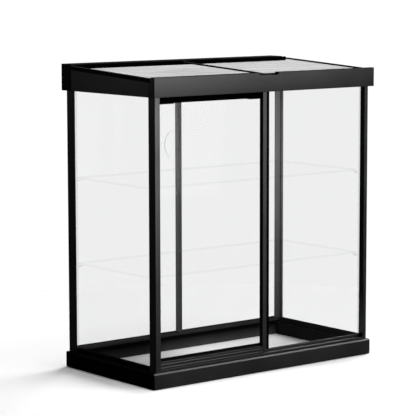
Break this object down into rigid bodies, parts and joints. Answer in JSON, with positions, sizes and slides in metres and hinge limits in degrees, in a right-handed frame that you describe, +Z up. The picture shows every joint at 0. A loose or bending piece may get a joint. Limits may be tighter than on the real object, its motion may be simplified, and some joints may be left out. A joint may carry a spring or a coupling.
{
  "type": "glass display showcase",
  "caption": "Countertop glass showcase with a framed sliding front door, glass shelves on clips, hinged glass lids in a dark top fascia and a sliding rear pane on a dark base ring.",
  "frame": {"origin": "centre of the foot pads' footprint at the height of the surface it stands on", "axes": "+X to the right seen from the front, +Y towards the back, +Z up; the framed sliding door is on -Y"},
  "size_m": [0.56, 0.3, 0.6035],
  "materials": {
    "clear_glass": "clear float glass, polished edges",
    "bright_steel": "bright metal",
    "pad_rubber": "matte black rubber",
    "white_board": "matte white",
    "black_plastic": "satin black",
    "charcoal_board": "satin charcoal",
    "charcoal_metal": "charcoal powder coat",
    "grey_metal": "grey anodised",
    "black_metal": "black powder coat"
  },
  "bodies": {
    "frame": {"base_rail_back": "charcoal_metal", "base_rail_front": "charcoal_metal", "base_rail_left": "charcoal_metal", "base_rail_right": "charcoal_metal", "fascia_back_box": "charcoal_board", "fascia_front": "charcoal_board", "fascia_left": "charcoal_board", "fascia_right": "charcoal_board", "fixed_pane_edge_channel": "black_plastic", "floor_panel": "white_board", "foot_back_left": "pad_rubber", "foot_back_right": "pad_rubber", "foot_front_left": "pad_rubber", "foot_front_right": "pad_rubber", "front_bottom_track": "charcoal_metal", "front_glass_fixed": "clear_glass", "front_glazing_channel": "charcoal_metal", "front_top_track": "charcoal_metal", "lid_hinge_rod_left": "bright_steel", "lid_hinge_rod_right": "bright_steel", "post_back_left": "charcoal_metal", "post_back_right": "charcoal_metal", "post_front_left": "charcoal_metal", "post_front_right": "charcoal_metal", "rear_bottom_track": "charcoal_metal", "rear_glass_fixed": "clear_glass", "rear_mullion": "grey_metal", "shelf_clip_lower_back_left": "bright_steel", "shelf_clip_lower_back_right": "bright_steel", "shelf_clip_lower_front_left": "bright_steel", "shelf_clip_lower_front_right": "bright_steel", "shelf_clip_upper_back_left": "bright_steel", "shelf_clip_upper_back_right": "bright_steel", "shelf_clip_upper_front_left": "bright_steel", "shelf_clip_upper_front_right": "bright_steel", "shelf_lower": "clear_glass", "shelf_upper": "clear_glass", "side_glass_left": "clear_glass", "side_glass_right": "clear_glass", "side_sill_left": "charcoal_metal", "side_sill_right": "charcoal_metal", "top_divider": "charcoal_board"},
    "door": {"door_stile_left": "charcoal_metal", "door_stile_right": "charcoal_metal", "door_bottom_rail": "charcoal_metal", "door_top_rail": "black_metal", "door_top_guide_left": "black_plastic", "door_top_guide_right": "black_plastic", "door_glass": "clear_glass", "roller_carrier_left": "black_plastic", "roller_carrier_right": "black_plastic"},
    "door_roller_left": {"door_roller_left": "black_plastic"},
    "door_roller_right": {"door_roller_right": "black_plastic"},
    "rear_pane": {"rear_glass_sliding": "clear_glass"},
    "lid_left": {"lid_frame_left": "charcoal_board", "lid_glass_left": "clear_glass", "lid_hinge_hook_left": "black_plastic"},
    "lid_right": {"lid_frame_right": "charcoal_board", "lid_glass_right": "clear_glass", "lid_hinge_hook_right": "black_plastic"}
  },
  "joints": [
    {"name": "door_slide", "type": "slide", "parent": "frame", "child": "door", "axis": [1, 0, 0], "range_m": [0, 0.262]},
    {"name": "roller_left_spin", "type": "hinge", "parent": "door", "child": "door_roller_left", "pos_m": [-0.24, -0.1335, 0.0403], "axis": [0, 1, 0], "continuous": true},
    {"name": "roller_right_spin", "type": "hinge", "parent": "door", "child": "door_roller_right", "pos_m": [-0.022, -0.1335, 0.0403], "axis": [0, 1, 0], "continuous": true},
    {"name": "rear_pane_slide", "type": "slide", "parent": "frame", "child": "rear_pane", "axis": [1, 0, 0], "range_m": [0, 0.26]},
    {"name": "lid_left_hinge", "type": "hinge", "parent": "frame", "child": "lid_left", "pos_m": [-0.138, 0.1124, 0.60061], "axis": [-1, 0, 0], "range_deg": [0, 95]},
    {"name": "lid_right_hinge", "type": "hinge", "parent": "frame", "child": "lid_right", "pos_m": [0.138, 0.1124, 0.60061], "axis": [-1, 0, 0], "range_deg": [0, 95]}
  ],
  "couplings": [
    {"joint": "roller_left_spin", "follows": "door_slide", "rad_per_m": 238.1},
    {"joint": "roller_right_spin", "follows": "door_slide", "rad_per_m": 238.1}
  ]
}
